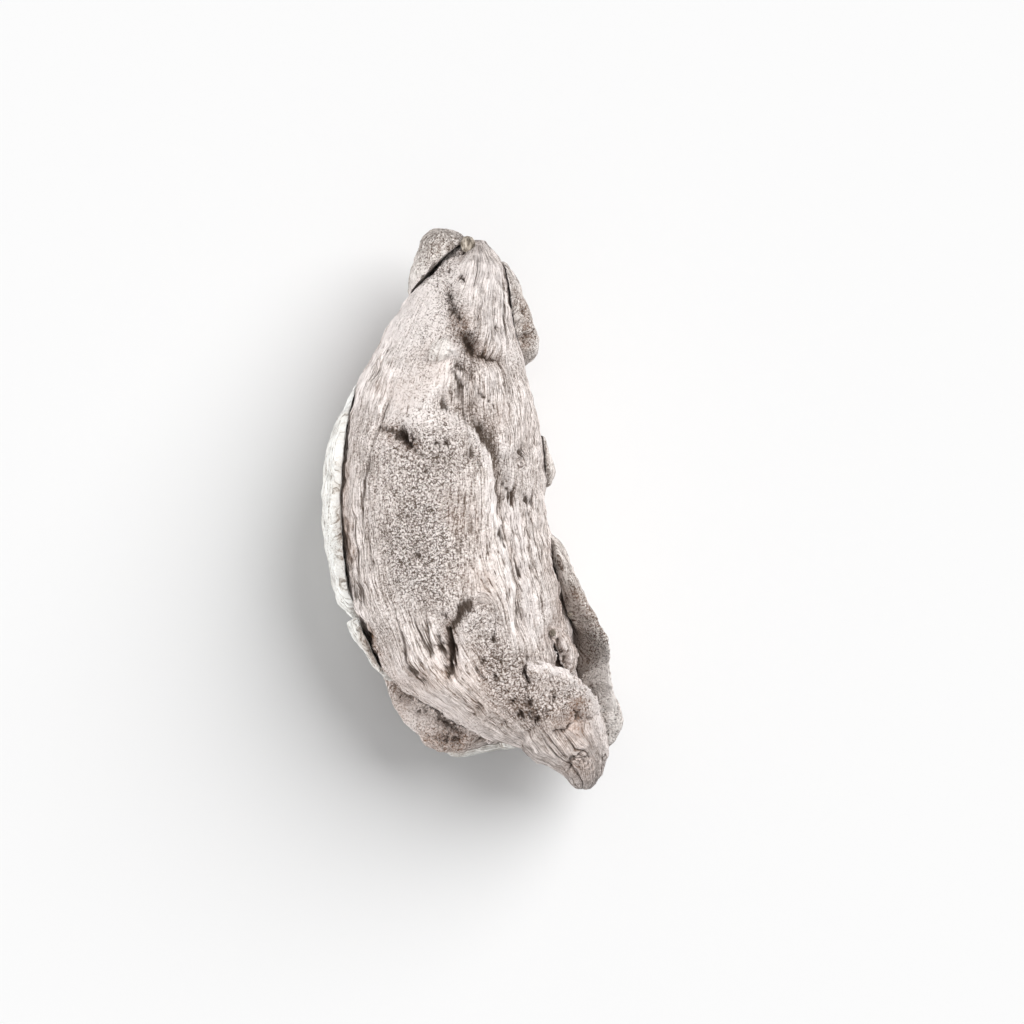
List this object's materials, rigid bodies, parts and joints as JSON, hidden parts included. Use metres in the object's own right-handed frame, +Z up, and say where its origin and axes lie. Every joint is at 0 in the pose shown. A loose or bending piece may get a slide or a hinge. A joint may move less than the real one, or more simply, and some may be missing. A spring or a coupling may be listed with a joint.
{
  "type": "driftwood piece",
  "caption": "Weathered half-moon driftwood piece with a sprung sapwood slab, a peeled root flange with a hollow, a root stub, a knot and wedged grit.",
  "frame": {"origin": "centre of the bounding box in plan, on the surface it rests on", "axes": "+Z up from the resting flat, +Y along the grain towards the narrow head, +X towards the side with the peeled root flange"},
  "size_m": [0.0741, 0.14, 0.046],
  "materials": {
    "weathered_wood": "dry grey-cream weathered grain with pores and dark checks",
    "bleached_wood": "sun-bleached, nearly white layered sapwood",
    "mottled_wood": "mottled grey-brown pitted wood",
    "grit": "pale rounded sand and pebble"
  },
  "bodies": {
    "root": {"trunk": "weathered_wood", "sapwood_slab": "bleached_wood", "side_flake": "bleached_wood", "root_stub": "mottled_wood", "head_flap": "mottled_wood", "bark_flake": "mottled_wood", "root_flange": "mottled_wood", "splinter": "weathered_wood", "tail_fold": "weathered_wood", "toe_lobe": "weathered_wood", "toe_lip": "bleached_wood", "dead_knot": "mottled_wood", "wedged_pebble": "grit", "sand_grains": "grit"}
  },
  "joints": []
}
